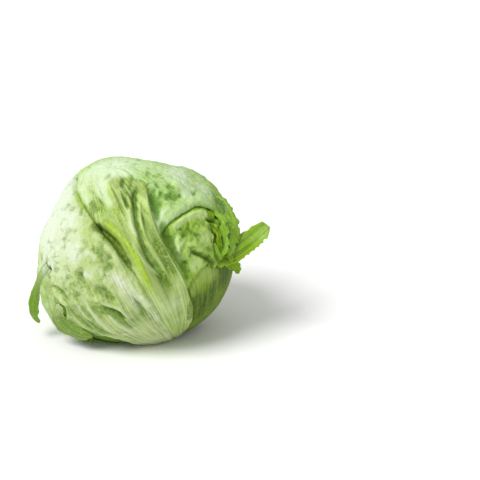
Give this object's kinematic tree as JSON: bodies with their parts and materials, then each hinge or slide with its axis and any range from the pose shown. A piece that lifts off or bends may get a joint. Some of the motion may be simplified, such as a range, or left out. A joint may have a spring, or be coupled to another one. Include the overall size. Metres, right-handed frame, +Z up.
{
  "type": "iceberg lettuce",
  "caption": "Round head of iceberg lettuce as picked: tight heart wrapped in overlapping pale green leaves, with a cut stem, lying on its underside.",
  "frame": {"origin": "middle of the flat patch on the underside that the head rests on, below the middle of the head", "axes": "+Z up, -Y towards the front of the head as pictured, +X to its right; the cut stem points down to the front right"},
  "size_m": [0.1948, 0.1608, 0.1432],
  "materials": {
    "outer_leaf": "waxy leaf skin, soft sheen",
    "inner_leaf": "pale inner leaf skin, soft sheen",
    "cut_stem": "moist cut stem, matt"
  },
  "bodies": {
    "root": {"heart": "inner_leaf", "cut_stem": "cut_stem", "inner_leaf_back": "inner_leaf", "inner_leaf_right": "inner_leaf", "torn_leaf_right": "inner_leaf", "folded_leaf_right": "inner_leaf", "crown_leaf": "inner_leaf", "outer_leaf_back_left": "outer_leaf", "outer_leaf_low_left": "outer_leaf", "outer_leaf_back_right": "outer_leaf", "outer_leaf_front": "outer_leaf", "outer_leaf_back": "outer_leaf", "outer_leaf_left": "outer_leaf", "outer_leaf_underside": "outer_leaf"}
  },
  "joints": []
}
